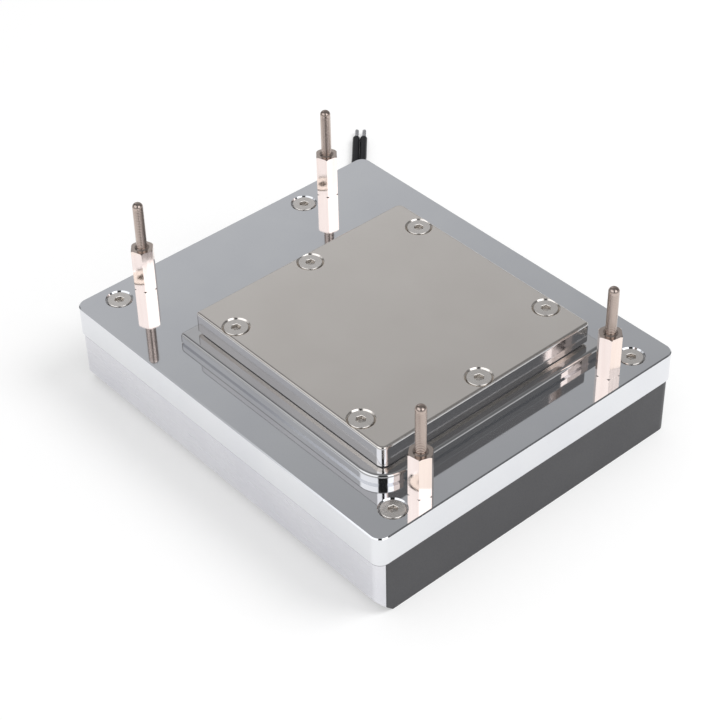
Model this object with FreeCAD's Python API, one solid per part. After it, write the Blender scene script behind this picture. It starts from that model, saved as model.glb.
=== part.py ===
import FreeCAD, Part
import math
import os
from FreeCAD import Vector

# Nickel plated base plate and the dark manifold block under it
PLATE_X = 105.0
PLATE_Y = 89.0
PLATE_T = 7.5
PLATE_CORNER_R = 2.6
PLATE_TOP_CHAMFER = 0.25
BLOCK_INSET = 0.4
BLOCK_H = 14.8
BLOCK_CORNER_R = 2.4
BLOCK_CHAMFER = 3.6

# Light trim plate over the front face of the block, held by a tongue
TRIM_T = 1.8
TONGUE_DEPTH = 1.2
TONGUE_H = 2.0
TONGUE_Z = 5.6
TONGUE_HALF_X = 46.0
TONGUE_FIT = 0.1

# Raised contact stack, off the middle of the plate
STACK_X = 8.75
STACK_Y = -1.25
TIER_LEDGE = 3.1
TIER_H = 3.1
TIER_CORNER_R = 2.0
TIER_CORNER_BY_SCREW_R = 6.5
TIER_ROUND = 0.8
TIER_BOTTOM_CHAMFER = 0.5
GASKET_T = 0.3
GASKET_RECESS = 0.5
CONTACT_X = 61.8
CONTACT_Y = 61.4
CONTACT_T = 5.3
CONTACT_CORNER_R = 1.7
CONTACT_ROUND = 0.65
CONTACT_BOTTOM_CHAMFER = 0.6
WINDOW_R = 3.0

# Thermoelectric module between the base plate and the contact plate
MODULE_SIZE = 40.0
CERAMIC_T = 0.7
PAD_T = 0.2
PELLET_SIZE = 1.8
PELLET_EDGE_GAP = 0.5
PELLET_ROWS = 12
PELLETS_LEFT_OUT = ((0, 0), (0, 1))
MODULE_SEAL_INSET = 0.3
MODULE_SEAL_W = 0.7
RING_WALL = 2.6
RING_FIT = 0.2

# Flat headed socket screws, three millimetre thread
SCREW_L = 12.0
SCREW_R = 1.5
HEAD_R = 2.75
HEAD_RIM = 0.45
HEAD_EDGE = 0.12
HEAD_SINK = 0.05
SOCKET_AF = 2.0
SOCKET_DEPTH = 1.3
SCREW_CLEARANCE_R = 1.6
TAP_SPARE = 0.4
CONTACT_SCREW_DX = 20.7
CONTACT_SCREW_DY = 27.4
CONTACT_SIDE_DX = 27.65
BASE_SCREW_EDGE_X = 5.5
BASE_SCREW_EDGE_Y = 8.8
ODD_SCREW_EDGE_Y = 24.2

# Mounting studs and their hexagonal standoffs
STUD_DX = 47.0
STUD_DY = 28.0
STUD_R = 1.25
STUD_SHANK_R = 1.15
STUD_THREAD_ABOVE_HEX = 0.1
STUD_DOME = 1.1
STUD_ROOT = 5.0
STUD_HOLE_DEPTH = 5.2
STUD_TIP_ABOVE_PLATE = 23.45
HEX_AF = 5.0
HEX_H = 11.0
HEX_BORE_R = 1.3
HEX_MOUTH_R = 1.7
HEX_CORNER_CUT = 0.25
HEX_VERTEX_DEG = (20.0, 20.0, 9.6, 19.2)

# Coolant passages
FIN_ZONE_X = 44.0
FIN_L = 38.0
FIN_T = 0.5
FIN_GAP = 0.6
FIN_H = 3.2
FLOW_PLATE_T = 1.0
FLOW_PLATE_FIT = 0.2
FLOW_SLOT_X = 38.0
FLOW_SLOT_Y = 2.5
PASSAGE_WEB = 1.0
PLENUM_HALF_Y = 5.0
GUTTER_W = 3.4
GUTTER_LIP = 0.8
GUTTER_OVERLAP = 2.5
GUTTER_END = 1.0
COLLECT_W = 12.0
SEAL_GROOVE_W = 2.4
SEAL_GROOVE_H = 1.6
SEAL_W = 2.0
SEAL_CHAMFER = 0.4
SEAL_WALL = 0.9
SEAL_INNER_R = 1.8

# Threaded port collars in the underside
INLET_X = 0.0
OUTLET_FROM_LIP = 5.0
PORT_BORE_R = 4.4
PORT_MOUTH_R = 5.0
COLLAR_R = 7.0
COLLAR_FLANGE_R = 8.5
COLLAR_FLANGE_T = 1.2
COLLAR_NECK_R = 5.4
COLLAR_NECK_Z = 5.8
COLLAR_H = 7.0
PORT_PASSAGE_R = 3.5
SPANNER_HOLE_R = 0.8
SPANNER_HOLE_AT = 6.8
SPANNER_HOLE_DEPTH = 1.0

# Brass inserts that take the base screws
INSERT_R = 2.3
INSERT_GROOVE_R = 2.0
INSERT_L = 6.0
INSERT_GROOVE_W = 0.8
INSERT_HOLE_SPARE = 0.5

# Power leads of the module, and their way out of the block
LEAD_D = 2.0
LEAD_Y = -17.0
LEAD_HALF_SPACING = 1.1
LEAD_ABOVE_PLATE = 1.2
LEAD_Z_OUT = 5.0
LEAD_BEND_R = 6.0
LEAD_DROP_X = -21.0
WELL_HALF_X = 2.6
WELL_HALF_Y = 2.6
TUNNEL_BELOW = 2.6
TUNNEL_ABOVE = 3.0
RAMP_X = 3.0
RAMP_H = 1.9
TIER_GROOVE_HALF_Y = 3.0
TIER_GROOVE_H = 2.4
RING_SLOT_HALF_Y = 2.4
GROMMET_R = 3.5
GROMMET_BODY_L = 3.0
GROMMET_FLANGE_R = 4.7
GROMMET_FLANGE_T = 1.2
GROMMET_ROUND = 0.3
TIP_R = 0.6
TIP_L = 4.0

# Middle line of the two free leads, from the grommet to the far end
LEAD_ROUTE = [
    (-53.3, -17.0, 5.0),
    (-57.2, -17.0, 5.0),
    (-61.6, -14.8, 4.1),
    (-64.6, -10.6, 3.0),
    (-65.8, -4.6, 1.9),
    (-65.4, 3.4, 1.2),
    (-64.2, 12.6, 1.05),
    (-63.8, 22.4, 1.05),
    (-64.6, 32.0, 1.05),
    (-65.0, 42.6, 1.05),
    (-66.6, 51.0, 1.05),
    (-71.3, 58.9, 1.05),
    (-76.8, 64.4, 1.05),
    (-80.8, 68.0, 1.05),
    (-83.2, 70.3, 1.05),
]

# Sizes and heights that follow from the ones above
BLOCK_X = PLATE_X - 2.0 * BLOCK_INSET
BLOCK_Y = PLATE_Y - 2.0 * BLOCK_INSET
TIER_X = CONTACT_X + 2.0 * TIER_LEDGE
TIER_Y = CONTACT_Y + 2.0 * TIER_LEDGE
PELLET_FIELD = MODULE_SIZE - 2.0 * (MODULE_SEAL_INSET + MODULE_SEAL_W + PELLET_EDGE_GAP)
PELLET_PITCH = (PELLET_FIELD - PELLET_SIZE) / (PELLET_ROWS - 1)
RING_INNER = MODULE_SIZE + 2.0 * RING_FIT
RING_OUTER = RING_INNER + 2.0 * RING_WALL
WINDOW = RING_OUTER + 2.0 * RING_FIT
PASSAGE_FLOOR = COLLAR_H + PASSAGE_WEB
FLOW_PLATE_X = FIN_ZONE_X
FLOW_PLATE_Y = FIN_L
FIN_ZONE_Y = FIN_L + 2.0 * (FLOW_PLATE_FIT + GUTTER_LIP + GUTTER_OVERLAP)
GUTTER_X0 = STACK_X - FIN_ZONE_X / 2.0 - GUTTER_END
COLLECT_X0 = STACK_X + FIN_ZONE_X / 2.0 + FLOW_PLATE_FIT + GUTTER_LIP
COLLECT_X1 = COLLECT_X0 + COLLECT_W
OUTLET_X = COLLECT_X0 + OUTLET_FROM_LIP
WELL_X0 = LEAD_DROP_X - WELL_HALF_X
WELL_X1 = LEAD_DROP_X + WELL_HALF_X
PLATE_TOP = BLOCK_H + PLATE_T
LEAD_Z_IN = PLATE_TOP + LEAD_ABOVE_PLATE
TIER_TOP = PLATE_TOP + TIER_H
CONTACT_BOTTOM = TIER_TOP + GASKET_T
CONTACT_TOP = CONTACT_BOTTOM + CONTACT_T
PELLET_H = CONTACT_BOTTOM - PLATE_TOP - 2.0 * PAD_T - 2.0 * CERAMIC_T
FIN_ROOF = BLOCK_H + FIN_H


def box(x0, x1, y0, y1, z0, z1):
    return Part.makeBox(x1 - x0, y1 - y0, z1 - z0, Vector(x0, y0, z0))


def cylinder(radius, x, y, z0, z1):
    return Part.makeCylinder(radius, z1 - z0, Vector(x, y, z0))


def rounded_slab(cx, cy, size_x, size_y, corner_r, z0, z1, first_r=None):
    """A flat slab with rounded upright corners. The first, at +X and -Y, may have a radius of its own."""
    radii = [first_r or corner_r, corner_r, corner_r, corner_r]
    sides = [(1, -1), (1, 1), (-1, 1), (-1, -1)]
    points = []
    for k, (radius, (sx, sy)) in enumerate(zip(radii, sides)):
        arc = []
        for step in (-90.0, -45.0, 0.0):
            turn = math.radians(90.0 * k + step)
            x = cx + sx * (size_x / 2.0 - radius) + radius * math.cos(turn)
            y = cy + sy * (size_y / 2.0 - radius) + radius * math.sin(turn)
            arc.append(Vector(x, y, z0))
        points.append(arc)
    edges = []
    for k in range(4):
        edges.append(Part.Arc(*points[k]).toShape())
        edges.append(Part.LineSegment(points[k][2], points[(k + 1) % 4][0]).toShape())
    return Part.Face(Part.Wire(edges)).extrude(Vector(0, 0, z1 - z0))


def prism(points, depth):
    """A straight prism from a closed polygon, pushed along the depth vector."""
    loop = [Vector(*p) for p in points]
    return Part.Face(Part.makePolygon(loop + loop[:1])).extrude(depth)


def edges_at(shape, z):
    """All edges of a shape that lie wholly at one height."""
    found = []
    for edge in shape.Edges:
        low = edge.BoundBox.ZMin
        high = edge.BoundBox.ZMax
        if abs(low - z) < 1e-5 and abs(high - z) < 1e-5:
            found.append(edge)
    return found


def hexagon(af, x, y, z0, z1, vertex_deg):
    radius = af / math.sqrt(3.0)
    loop = []
    for k in range(6):
        turn = math.radians(vertex_deg + 60.0 * k)
        loop.append((x + radius * math.cos(turn), y + radius * math.sin(turn), z0))
    return prism(loop, Vector(0, 0, z1 - z0))


def countersink(x, y, surface, reach):
    """Tool for a flat headed screw seat: mouth cone and clearance hole."""
    mouth_r = HEAD_R + HEAD_RIM + HEAD_SINK
    over = 1.0
    depth = mouth_r - SCREW_CLEARANCE_R
    base = Vector(x, y, surface - depth)
    cone = Part.makeCone(SCREW_CLEARANCE_R, mouth_r + over, depth + over, base)
    return cone.fuse(cylinder(SCREW_CLEARANCE_R, x, y, surface - reach, surface - depth))


def flat_head_screw(x, y, surface, turn_deg):
    """One flat headed socket screw. A short upright rim lifts its head level with the surface."""
    top = surface - HEAD_SINK
    seat = top - HEAD_RIM
    tip = top - SCREW_L
    cone_h = HEAD_R - SCREW_R
    head = Part.makeCone(SCREW_R, HEAD_R, cone_h, Vector(x, y, seat - cone_h))
    head = head.fuse(cylinder(HEAD_R, x, y, seat, top - HEAD_EDGE))
    head = head.fuse(Part.makeCone(HEAD_R, HEAD_R - HEAD_EDGE, HEAD_EDGE, Vector(x, y, top - HEAD_EDGE)))
    point_h = 0.4
    shank = cylinder(SCREW_R, x, y, tip + point_h, seat - cone_h)
    point = Part.makeCone(SCREW_R - point_h, SCREW_R, point_h, Vector(x, y, tip))
    socket = hexagon(SOCKET_AF, x, y, top - SOCKET_DEPTH, top + 1.0, turn_deg)
    return head.fuse([shank, point]).cut(socket).removeSplitter()


def contact_screw_places():
    places = []
    for sx in (-1, 1):
        for sy in (-1, 1):
            places.append((STACK_X + sx * CONTACT_SCREW_DX, STACK_Y + sy * CONTACT_SCREW_DY))
        places.append((STACK_X + sx * CONTACT_SIDE_DX, STACK_Y))
    return places


def base_screw_places():
    x = PLATE_X / 2.0 - BASE_SCREW_EDGE_X
    y = PLATE_Y / 2.0 - BASE_SCREW_EDGE_Y
    return [(-x, -y), (x, -y), (x, y), (-x, PLATE_Y / 2.0 - ODD_SCREW_EDGE_Y)]


def stud_places():
    return [(-STUD_DX, -STUD_DY), (-STUD_DX, STUD_DY), (STUD_DX, -STUD_DY), (STUD_DX, STUD_DY)]


def lead_slot(z0, z1):
    """Upright slot that the leads drop through."""
    return box(WELL_X0, WELL_X1, LEAD_Y - WELL_HALF_Y, LEAD_Y + WELL_HALF_Y, z0, z1)


def base_plate():
    plate = rounded_slab(0, 0, PLATE_X, PLATE_Y, PLATE_CORNER_R, BLOCK_H, PLATE_TOP)
    plate = plate.makeChamfer(PLATE_TOP_CHAMFER, edges_at(plate, PLATE_TOP))
    x0 = STACK_X - FIN_ZONE_X / 2.0
    y0 = STACK_Y - FIN_ZONE_Y / 2.0
    pocket = box(x0, x0 + FIN_ZONE_X, y0, y0 + FIN_ZONE_Y, BLOCK_H, FIN_ROOF)
    pitch = FIN_T + FIN_GAP
    fins = []
    for k in range(int((FIN_ZONE_X - FIN_GAP) / pitch)):
        fx = x0 + FIN_GAP + k * pitch
        fins.append(box(fx, fx + FIN_T, STACK_Y - FIN_L / 2.0, STACK_Y + FIN_L / 2.0, BLOCK_H, FIN_ROOF))
    tools = [pocket.cut(Part.makeCompound(fins))]
    for x, y in base_screw_places():
        tools.append(countersink(x, y, PLATE_TOP, PLATE_T))
    for x, y in contact_screw_places():
        tap_end = CONTACT_TOP - HEAD_SINK - SCREW_L - TAP_SPARE
        tools.append(cylinder(SCREW_R, x, y, tap_end, PLATE_TOP))
    for x, y in stud_places():
        tools.append(cylinder(STUD_SHANK_R, x, y, PLATE_TOP - STUD_HOLE_DEPTH, PLATE_TOP))
    tools.append(lead_slot(BLOCK_H, PLATE_TOP))
    y0 = LEAD_Y - WELL_HALF_Y
    ramp = [(WELL_X1, y0, PLATE_TOP - RAMP_H), (WELL_X1 + RAMP_X, y0, PLATE_TOP), (WELL_X1, y0, PLATE_TOP)]
    tools.append(prism(ramp, Vector(0, 2.0 * WELL_HALF_Y, 0)))
    for tool in tools:
        plate = plate.cut(tool)
    return plate


def block_blank():
    """Outline shared by the block and its trim, front bottom edge cut off."""
    blank = rounded_slab(0, 0, BLOCK_X, BLOCK_Y, BLOCK_CORNER_R, 0.0, BLOCK_H)
    front = -BLOCK_Y / 2.0
    wedge = [(-BLOCK_X, front - 1.0, BLOCK_CHAMFER + 1.0), (-BLOCK_X, front + BLOCK_CHAMFER + 1.0, -1.0)]
    wedge.append((-BLOCK_X, front - 1.0, -1.0))
    return blank.cut(prism(wedge, Vector(2.0 * BLOCK_X, 0, 0)))


def trim_zone():
    front = -BLOCK_Y / 2.0
    return box(-BLOCK_X, BLOCK_X, front - 1.0, front + TRIM_T, -1.0, BLOCK_H + 1.0)


def front_trim():
    back = TRIM_T - BLOCK_Y / 2.0
    tongue = box(-TONGUE_HALF_X, TONGUE_HALF_X, back, back + TONGUE_DEPTH, TONGUE_Z, TONGUE_Z + TONGUE_H)
    return block_blank().common(trim_zone()).fuse(tongue).removeSplitter()


def port_cut(x):
    """Stepped hole for one port collar and the passage above it."""
    flange = cylinder(COLLAR_FLANGE_R, x, STACK_Y, 0.0, COLLAR_FLANGE_T)
    barrel = cylinder(COLLAR_R, x, STACK_Y, 0.0, COLLAR_H)
    passage = cylinder(PORT_PASSAGE_R, x, STACK_Y, 0.0, PASSAGE_FLOOR)
    return flange.fuse([barrel, passage])


def seal_track(extra_in, extra_out, z0, z1):
    """A ring that follows the seal groove, narrowed by the two extras."""
    x0 = GUTTER_X0 - SEAL_WALL
    x1 = COLLECT_X1 + SEAL_WALL
    span_y = FLOW_PLATE_Y + 2.0 * (FLOW_PLATE_FIT + GUTTER_LIP + GUTTER_W + SEAL_WALL)
    cx = (x0 + x1) / 2.0
    span_x = x1 - x0
    outer = 2.0 * (SEAL_GROOVE_W - extra_out)
    outer_r = SEAL_INNER_R + SEAL_GROOVE_W - extra_out
    ring = rounded_slab(cx, STACK_Y, span_x + outer, span_y + outer, outer_r, z0, z1)
    inner = 2.0 * extra_in
    inner_r = SEAL_INNER_R + extra_in
    return ring.cut(rounded_slab(cx, STACK_Y, span_x + inner, span_y + inner, inner_r, z0, z1))


def manifold():
    block = block_blank().cut(trim_zone())
    back = TRIM_T - BLOCK_Y / 2.0
    fit = TONGUE_FIT
    half = TONGUE_HALF_X + fit
    groove = box(-half, half, back, back + TONGUE_DEPTH + fit, TONGUE_Z - fit, TONGUE_Z + TONGUE_H + fit)
    px = FLOW_PLATE_X / 2.0 + FLOW_PLATE_FIT
    py = FLOW_PLATE_Y / 2.0 + FLOW_PLATE_FIT
    ledge = BLOCK_H - FLOW_PLATE_T
    tools = [groove]
    tools.append(box(STACK_X - px, STACK_X + px, STACK_Y - py, STACK_Y + py, ledge, BLOCK_H))
    half = FLOW_SLOT_X / 2.0
    y0 = STACK_Y - PLENUM_HALF_Y
    y1 = STACK_Y + PLENUM_HALF_Y
    tools.append(box(STACK_X - half, STACK_X + half, y0, y1, PASSAGE_FLOOR, ledge))
    near = py + GUTTER_LIP
    far = near + GUTTER_W
    gutters = box(GUTTER_X0, COLLECT_X1, STACK_Y - far, STACK_Y - near, PASSAGE_FLOOR, BLOCK_H)
    gutters = gutters.fuse(box(GUTTER_X0, COLLECT_X1, STACK_Y + near, STACK_Y + far, PASSAGE_FLOOR, BLOCK_H))
    collect = box(COLLECT_X0, COLLECT_X1, STACK_Y - far, STACK_Y + far, PASSAGE_FLOOR, BLOCK_H)
    tools.append(gutters.fuse(collect).removeSplitter())
    tools.append(seal_track(0.0, 0.0, BLOCK_H - SEAL_GROOVE_H, BLOCK_H))
    tools.append(port_cut(INLET_X))
    tools.append(port_cut(OUTLET_X))
    for x, y in base_screw_places():
        tools.append(cylinder(INSERT_R, x, y, BLOCK_H - INSERT_L - INSERT_HOLE_SPARE, BLOCK_H))
    side = -BLOCK_X / 2.0
    floor = LEAD_Z_OUT - TUNNEL_BELOW
    tools.append(lead_slot(floor, BLOCK_H))
    y0 = LEAD_Y - WELL_HALF_Y
    y1 = LEAD_Y + WELL_HALF_Y
    tools.append(box(side + GROMMET_BODY_L, WELL_X1, y0, y1, floor, LEAD_Z_OUT + TUNNEL_ABOVE))
    mouth = Vector(side, LEAD_Y, LEAD_Z_OUT)
    tools.append(Part.makeCylinder(GROMMET_R, GROMMET_BODY_L, mouth, Vector(1, 0, 0)))
    for tool in tools:
        block = block.cut(tool)
    return block


def chamber_seal():
    margin = (SEAL_GROOVE_W - SEAL_W) / 2.0
    seal = seal_track(margin, margin, BLOCK_H - SEAL_GROOVE_H, BLOCK_H)
    return seal.makeChamfer(SEAL_CHAMFER, edges_at(seal, BLOCK_H))


def flow_plate():
    z0 = BLOCK_H - FLOW_PLATE_T
    hx = FLOW_PLATE_X / 2.0
    hy = FLOW_PLATE_Y / 2.0
    plate = box(STACK_X - hx, STACK_X + hx, STACK_Y - hy, STACK_Y + hy, z0, BLOCK_H)
    sx = FLOW_SLOT_X / 2.0
    sy = FLOW_SLOT_Y / 2.0
    return plate.cut(box(STACK_X - sx, STACK_X + sx, STACK_Y - sy, STACK_Y + sy, z0, BLOCK_H))


def port_collar(x):
    """Flanged threaded collar, open from the underside."""
    collar = cylinder(COLLAR_FLANGE_R, x, STACK_Y, 0.0, COLLAR_FLANGE_T)
    collar = collar.fuse(cylinder(COLLAR_R, x, STACK_Y, COLLAR_FLANGE_T, COLLAR_NECK_Z))
    collar = collar.fuse(cylinder(COLLAR_NECK_R, x, STACK_Y, COLLAR_NECK_Z, COLLAR_H))
    collar = collar.cut(cylinder(PORT_BORE_R, x, STACK_Y, 0.0, COLLAR_H))
    mouth_h = PORT_MOUTH_R - PORT_BORE_R
    collar = collar.cut(Part.makeCone(PORT_MOUTH_R, PORT_BORE_R, mouth_h, Vector(x, STACK_Y, 0.0)))
    for side in (-1, 1):
        at = x + side * SPANNER_HOLE_AT
        collar = collar.cut(cylinder(SPANNER_HOLE_R, at, STACK_Y, 0.0, SPANNER_HOLE_DEPTH))
    return collar.removeSplitter()


def collar_seal(x):
    ring = cylinder(COLLAR_R, x, STACK_Y, COLLAR_NECK_Z, COLLAR_H)
    return ring.cut(cylinder(COLLAR_NECK_R, x, STACK_Y, COLLAR_NECK_Z, COLLAR_H))


def insert(x, y):
    """Brass insert with one groove round it and a through thread."""
    z0 = BLOCK_H - INSERT_L
    body = cylinder(INSERT_R, x, y, z0, BLOCK_H)
    mid = z0 + INSERT_L / 2.0
    low = mid - INSERT_GROOVE_W / 2.0
    high = mid + INSERT_GROOVE_W / 2.0
    groove = cylinder(INSERT_R, x, y, low, high).cut(cylinder(INSERT_GROOVE_R, x, y, low, high))
    return body.cut(groove).cut(cylinder(SCREW_R, x, y, z0, BLOCK_H))


def window(z0, z1):
    return rounded_slab(STACK_X, STACK_Y, WINDOW, WINDOW, WINDOW_R, z0, z1)


def tier_frame():
    frame = rounded_slab(
        STACK_X, STACK_Y, TIER_X, TIER_Y, TIER_CORNER_R, PLATE_TOP, TIER_TOP, TIER_CORNER_BY_SCREW_R
    )
    frame = frame.makeFillet(TIER_ROUND, edges_at(frame, TIER_TOP))
    frame = frame.makeChamfer(TIER_BOTTOM_CHAMFER, edges_at(frame, PLATE_TOP))
    frame = frame.cut(window(PLATE_TOP, TIER_TOP))
    y0 = LEAD_Y - TIER_GROOVE_HALF_Y
    y1 = LEAD_Y + TIER_GROOVE_HALF_Y
    x1 = STACK_X - WINDOW / 2.0 + 1.0
    frame = frame.cut(box(WELL_X0, x1, y0, y1, PLATE_TOP, PLATE_TOP + TIER_GROOVE_H))
    for x, y in contact_screw_places():
        frame = frame.cut(cylinder(SCREW_CLEARANCE_R, x, y, PLATE_TOP, TIER_TOP))
    return frame


def contact_gasket():
    size_x = CONTACT_X - 2.0 * GASKET_RECESS
    size_y = CONTACT_Y - 2.0 * GASKET_RECESS
    sheet = rounded_slab(STACK_X, STACK_Y, size_x, size_y, CONTACT_CORNER_R, TIER_TOP, CONTACT_BOTTOM)
    sheet = sheet.cut(window(TIER_TOP, CONTACT_BOTTOM))
    for x, y in contact_screw_places():
        sheet = sheet.cut(cylinder(SCREW_CLEARANCE_R, x, y, TIER_TOP, CONTACT_BOTTOM))
    return sheet


def contact_plate():
    """The raised plate that touches the hot part, edges rounded before the seats are cut."""
    plate = rounded_slab(
        STACK_X, STACK_Y, CONTACT_X, CONTACT_Y, CONTACT_CORNER_R, CONTACT_BOTTOM, CONTACT_TOP
    )
    plate = plate.makeFillet(CONTACT_ROUND, edges_at(plate, CONTACT_TOP))
    plate = plate.makeChamfer(CONTACT_BOTTOM_CHAMFER, edges_at(plate, CONTACT_BOTTOM))
    for x, y in contact_screw_places():
        plate = plate.cut(countersink(x, y, CONTACT_TOP, CONTACT_T))
    return plate


def square_sheet(size, z0, z1):
    half = size / 2.0
    return box(STACK_X - half, STACK_X + half, STACK_Y - half, STACK_Y + half, z0, z1)


def module_pellets():
    z0 = PLATE_TOP + PAD_T + CERAMIC_T
    first = -PELLET_PITCH * (PELLET_ROWS - 1) / 2.0 - PELLET_SIZE / 2.0
    pellets = []
    for i in range(PELLET_ROWS):
        for j in range(PELLET_ROWS):
            if (i, j) in PELLETS_LEFT_OUT:
                continue
            x = STACK_X + first + i * PELLET_PITCH
            y = STACK_Y + first + j * PELLET_PITCH
            pellets.append(box(x, x + PELLET_SIZE, y, y + PELLET_SIZE, z0, z0 + PELLET_H))
    return Part.makeCompound(pellets)


def module_seal():
    z0 = PLATE_TOP + PAD_T + CERAMIC_T
    z1 = z0 + PELLET_H
    outer = MODULE_SIZE - 2.0 * MODULE_SEAL_INSET
    inner = outer - 2.0 * MODULE_SEAL_W
    return square_sheet(outer, z0, z1).cut(square_sheet(inner, z0, z1))


def insulation_ring():
    """Foam round the module, with a slot for the two leads."""
    ring = rounded_slab(
        STACK_X, STACK_Y, RING_OUTER, RING_OUTER, WINDOW_R - RING_FIT, PLATE_TOP, CONTACT_BOTTOM
    )
    ring = ring.cut(square_sheet(RING_INNER, PLATE_TOP, CONTACT_BOTTOM))
    x0 = STACK_X - RING_OUTER / 2.0 - 1.0
    x1 = STACK_X - RING_INNER / 2.0 + 1.0
    y0 = LEAD_Y - RING_SLOT_HALF_Y
    y1 = LEAD_Y + RING_SLOT_HALF_Y
    return ring.cut(box(x0, x1, y0, y1, PLATE_TOP, PLATE_TOP + TIER_GROOVE_H))


def standoff(x, y, vertex_deg):
    """Hexagonal standoff, its corners turned off at both ends."""
    top = PLATE_TOP + HEX_H
    body = hexagon(HEX_AF, x, y, PLATE_TOP, top, vertex_deg)
    outer = HEX_AF / math.sqrt(3.0) + 0.02
    turned = cylinder(outer, x, y, PLATE_TOP, top)
    turned = turned.makeChamfer(HEX_CORNER_CUT, edges_at(turned, top) + edges_at(turned, PLATE_TOP))
    body = body.common(turned)
    body = body.cut(cylinder(HEX_BORE_R, x, y, PLATE_TOP, top))
    mouth_h = HEX_MOUTH_R - HEX_BORE_R
    return body.cut(Part.makeCone(HEX_BORE_R, HEX_MOUTH_R, mouth_h, Vector(x, y, top - mouth_h)))


def stud(x, y):
    """Stud with a slimmer shank in the base plate and a rounded, full width thread above the standoff."""
    tip = PLATE_TOP + STUD_TIP_ABOVE_PLATE
    start = PLATE_TOP + HEX_H + STUD_THREAD_ABOVE_HEX
    thread = cylinder(STUD_R, x, y, start, tip)
    thread = thread.makeFillet(STUD_DOME, edges_at(thread, tip))
    return thread.fuse(cylinder(STUD_SHANK_R, x, y, PLATE_TOP - STUD_ROOT, start))


def lead_grommet():
    side = -BLOCK_X / 2.0
    axis = Vector(1, 0, 0)
    flange = Part.makeCylinder(
        GROMMET_FLANGE_R, GROMMET_FLANGE_T, Vector(side - GROMMET_FLANGE_T, LEAD_Y, LEAD_Z_OUT), axis
    )
    rim = []
    for edge in flange.Edges:
        if edge.BoundBox.XMax < side - GROMMET_FLANGE_T + 1e-5:
            rim.append(edge)
    flange = flange.makeFillet(GROMMET_ROUND, rim)
    body = Part.makeCylinder(GROMMET_R, GROMMET_BODY_L, Vector(side, LEAD_Y, LEAD_Z_OUT), axis)
    grommet = flange.fuse(body).removeSplitter()
    length = GROMMET_BODY_L + GROMMET_FLANGE_T
    for sign in (-1, 1):
        start = Vector(side - GROMMET_FLANGE_T, LEAD_Y + sign * LEAD_HALF_SPACING, LEAD_Z_OUT)
        grommet = grommet.cut(Part.makeCylinder(LEAD_D / 2.0, length, start, axis))
    return grommet


def swept_tube(wire, diameter):
    """A round tube along a wire, starting square to its first edge."""
    first = wire.Edges[0]
    start = first.valueAt(first.FirstParameter)
    along = first.tangentAt(first.FirstParameter)
    circle = Part.Wire(Part.makeCircle(diameter / 2.0, start, along))
    return wire.makePipeShell([circle], True, False)


def inner_lead(sign):
    """Lead from the module edge, down through the well, out to the grommet face."""
    y = LEAD_Y + sign * LEAD_HALF_SPACING
    r = LEAD_BEND_R
    s = r * math.sin(math.radians(45.0))
    x_mod = STACK_X - MODULE_SIZE / 2.0
    x_out = -BLOCK_X / 2.0 - GROMMET_FLANGE_T
    bend_x = LEAD_DROP_X + r
    a = Vector(x_mod, y, LEAD_Z_IN)
    b = Vector(bend_x, y, LEAD_Z_IN)
    b_mid = Vector(bend_x - s, y, LEAD_Z_IN - r + s)
    c = Vector(LEAD_DROP_X, y, LEAD_Z_IN - r)
    d = Vector(LEAD_DROP_X, y, LEAD_Z_OUT + r)
    d_mid = Vector(LEAD_DROP_X - r + s, y, LEAD_Z_OUT + r - s)
    e = Vector(LEAD_DROP_X - r, y, LEAD_Z_OUT)
    f = Vector(x_out, y, LEAD_Z_OUT)
    edges = [Part.LineSegment(a, b), Part.Arc(b, b_mid, c), Part.LineSegment(c, d)]
    edges += [Part.Arc(d, d_mid, e), Part.LineSegment(e, f)]
    return swept_tube(Part.Wire([edge.toShape() for edge in edges]), LEAD_D)


def side_route(sign):
    """The middle line shifted sideways in plan, for one of the two leads."""
    route = []
    last = len(LEAD_ROUTE) - 1
    for k, (x, y, z) in enumerate(LEAD_ROUTE):
        before = LEAD_ROUTE[max(k - 1, 0)]
        after = LEAD_ROUTE[min(k + 1, last)]
        dx = after[0] - before[0]
        dy = after[1] - before[1]
        if k <= 1:
            dx, dy = -1.0, 0.0
        reach = math.hypot(dx, dy)
        shift = sign * LEAD_HALF_SPACING
        route.append(Vector(x - shift * dy / reach, y + shift * dx / reach, z))
    return route


def soft_wire(route, name):
    """Straight runs joined by arcs that touch them, printing the bend radii."""
    trims = []
    for k in range(1, len(route) - 1):
        run_in = route[k] - route[k - 1]
        run_out = route[k + 1] - route[k]
        half_turn = run_in.getAngle(run_out) / 2.0
        trim = 0.45 * min(run_in.Length, run_out.Length)
        trims.append((trim, trim / math.tan(half_turn)))
    edges = []
    at = route[0]
    for k in range(1, len(route) - 1):
        trim = trims[k - 1][0]
        corner = route[k]
        unit_in = Vector(corner - route[k - 1]).normalize()
        unit_out = Vector(route[k + 1] - corner).normalize()
        start = corner - unit_in * trim
        end = corner + unit_out * trim
        radius = trims[k - 1][1]
        bisector = Vector(unit_out - unit_in).normalize()
        to_centre = math.hypot(radius, trim)
        middle = corner + bisector * (to_centre - radius)
        edges.append(Part.LineSegment(at, start).toShape())
        edges.append(Part.Arc(start, middle, end).toShape())
        at = end
    edges.append(Part.LineSegment(at, route[-1]).toShape())
    wire = Part.Wire(edges)
    print(name, "length", round(wire.Length, 2), "smallest bend", round(min(t[1] for t in trims), 2))
    return wire


def outer_lead(sign, name):
    wire = soft_wire(side_route(sign), name)
    tube = swept_tube(wire, LEAD_D)
    ideal = wire.Length * math.pi * (LEAD_D / 2.0) ** 2
    print(name, "volume over section times length", round(tube.Volume / ideal, 4))
    return tube


def lead_tip(sign):
    """Bare tinned end past the insulation of one lead."""
    route = side_route(sign)
    along = Vector(route[-1] - route[-2]).normalize()
    tip = Part.makeCylinder(TIP_R, TIP_L, route[-1], along)
    return tip


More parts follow.
